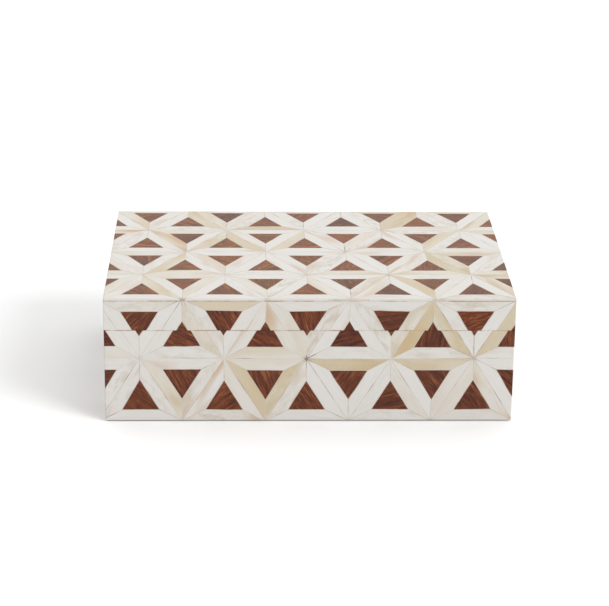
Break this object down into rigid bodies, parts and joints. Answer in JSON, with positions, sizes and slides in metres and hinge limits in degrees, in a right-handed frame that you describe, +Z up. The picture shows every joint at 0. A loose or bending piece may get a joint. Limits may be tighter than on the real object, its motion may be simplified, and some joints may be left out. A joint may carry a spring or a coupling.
{
  "type": "hinged inlaid box",
  "caption": "Rectangular wooden box with a hinged lid, covered on every side in a triangle lattice of mitred bone strips round dark wood triangles, with a velvet-lined inside.",
  "frame": {"origin": "centre of the box's footprint, on the underside of its felt", "axes": "+Z up, +X to the right along the front, -Y out of the front; the hinges are at +Y"},
  "size_m": [0.305, 0.2102, 0.0985],
  "materials": {
    "bone_strips": "polished bone",
    "sheesham_triangles": "polished dark wood",
    "tinted_resin": "tinted resin",
    "carcass_wood": "oiled",
    "velvet": "velvet on card",
    "felt": "wool felt",
    "brass": "satin"
  },
  "bodies": {
    "base": {"felt_base_pad": "felt", "base_bottom_board": "carcass_wood", "base_front_wall": "carcass_wood", "base_back_wall": "carcass_wood", "base_left_wall": "carcass_wood", "base_right_wall": "carcass_wood", "base_front_bone_strips": "bone_strips", "base_front_wood_triangles": "sheesham_triangles", "base_front_filler": "tinted_resin", "base_back_bone_strips": "bone_strips", "base_back_wood_triangles": "sheesham_triangles", "base_back_filler": "tinted_resin", "base_left_bone_strips": "bone_strips", "base_left_wood_triangles": "sheesham_triangles", "base_left_filler": "tinted_resin", "base_right_bone_strips": "bone_strips", "base_right_wood_triangles": "sheesham_triangles", "base_right_filler": "tinted_resin", "base_floor_lining": "velvet", "base_front_lining": "velvet", "base_back_lining": "velvet", "base_left_lining": "velvet", "base_right_lining": "velvet", "hinge_left_base_leaf": "brass", "hinge_left_pin": "brass", "hinge_left_base_screws": "brass", "hinge_right_base_leaf": "brass", "hinge_right_pin": "brass", "hinge_right_base_screws": "brass"},
    "lid": {"lid_top_board": "carcass_wood", "lid_front_rail": "carcass_wood", "lid_back_rail": "carcass_wood", "lid_left_rail": "carcass_wood", "lid_right_rail": "carcass_wood", "lid_top_bone_strips": "bone_strips", "lid_top_wood_triangles": "sheesham_triangles", "lid_top_filler": "tinted_resin", "lid_front_bone_strips": "bone_strips", "lid_front_wood_triangles": "sheesham_triangles", "lid_front_filler": "tinted_resin", "lid_back_bone_strips": "bone_strips", "lid_back_wood_triangles": "sheesham_triangles", "lid_back_filler": "tinted_resin", "lid_left_bone_strips": "bone_strips", "lid_left_wood_triangles": "sheesham_triangles", "lid_left_filler": "tinted_resin", "lid_right_bone_strips": "bone_strips", "lid_right_wood_triangles": "sheesham_triangles", "lid_right_filler": "tinted_resin", "lid_ceiling_lining": "velvet", "lid_front_lining": "velvet", "lid_back_lining": "velvet", "lid_left_lining": "velvet", "lid_right_lining": "velvet", "hinge_left_lid_leaf": "brass", "hinge_left_lid_screws": "brass", "hinge_right_lid_leaf": "brass", "hinge_right_lid_screws": "brass"}
  },
  "joints": [
    {"name": "lid_hinge", "type": "hinge", "parent": "base", "child": "lid", "pos_m": [0, 0.1052, 0.0733], "axis": [-1, 0, 0], "range_deg": [0, 100]}
  ]
}
